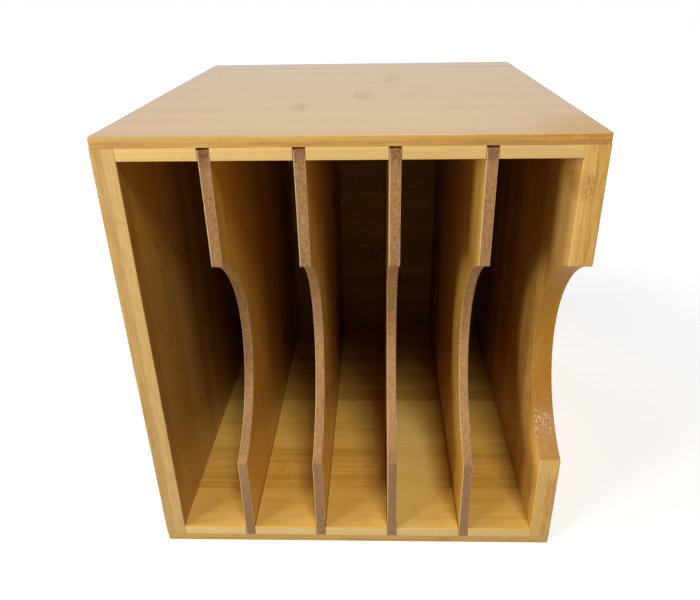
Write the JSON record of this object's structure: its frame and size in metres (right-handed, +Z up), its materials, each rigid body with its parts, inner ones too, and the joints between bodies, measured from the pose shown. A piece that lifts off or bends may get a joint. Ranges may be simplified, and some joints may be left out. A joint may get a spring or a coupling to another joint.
{
  "type": "record storage stand",
  "caption": "Open-fronted bamboo case that holds records upright between sliding dividers with round finger cut-outs.",
  "frame": {"origin": "middle of the case's footprint, on the surface that it stands on", "axes": "+X to the right seen from the open front, +Y to the back, +Z up"},
  "size_m": [0.35, 0.372, 0.375],
  "materials": {
    "bamboo_outer": "satin lacquered bamboo, grain from left to right",
    "bamboo_side": "satin lacquered bamboo, upright grain",
    "bamboo_inner": "satin lacquered pale bamboo, grain from left to right",
    "bamboo_back": "satin lacquered bamboo, grain from left to right",
    "bamboo_veneer": "satin lacquered bamboo veneer, upright grain",
    "fibreboard": "raw sawn fibreboard",
    "dowel_wood": "plain beech"
  },
  "bodies": {
    "case": {"top_board": "bamboo_outer", "bottom_board": "bamboo_outer", "left_side": "bamboo_side", "right_side": "bamboo_side", "back_panel": "bamboo_back", "top_strip_1": "bamboo_inner", "top_strip_2": "bamboo_inner", "top_strip_3": "bamboo_inner", "top_strip_4": "bamboo_inner", "top_strip_5": "bamboo_inner", "bottom_strip_1": "bamboo_inner", "bottom_strip_2": "bamboo_inner", "bottom_strip_3": "bamboo_inner", "bottom_strip_4": "bamboo_inner", "bottom_strip_5": "bamboo_inner", "dowels_top_left": "dowel_wood", "dowels_top_right": "dowel_wood", "dowels_bottom_left": "dowel_wood", "dowels_bottom_right": "dowel_wood"},
    "divider_1": {"divider_1_core": "fibreboard", "divider_1_left_veneer": "bamboo_veneer", "divider_1_right_veneer": "bamboo_veneer"},
    "divider_2": {"divider_2_core": "fibreboard", "divider_2_left_veneer": "bamboo_veneer", "divider_2_right_veneer": "bamboo_veneer"},
    "divider_3": {"divider_3_core": "fibreboard", "divider_3_left_veneer": "bamboo_veneer", "divider_3_right_veneer": "bamboo_veneer"},
    "divider_4": {"divider_4_core": "fibreboard", "divider_4_left_veneer": "bamboo_veneer", "divider_4_right_veneer": "bamboo_veneer"}
  },
  "joints": [
    {"name": "divider_1_slide", "type": "slide", "parent": "case", "child": "divider_1", "axis": [0, -1, 0], "range_m": [0, 0.36]},
    {"name": "divider_2_slide", "type": "slide", "parent": "case", "child": "divider_2", "axis": [0, -1, 0], "range_m": [0, 0.36]},
    {"name": "divider_3_slide", "type": "slide", "parent": "case", "child": "divider_3", "axis": [0, -1, 0], "range_m": [0, 0.36]},
    {"name": "divider_4_slide", "type": "slide", "parent": "case", "child": "divider_4", "axis": [0, -1, 0], "range_m": [0, 0.36]}
  ]
}
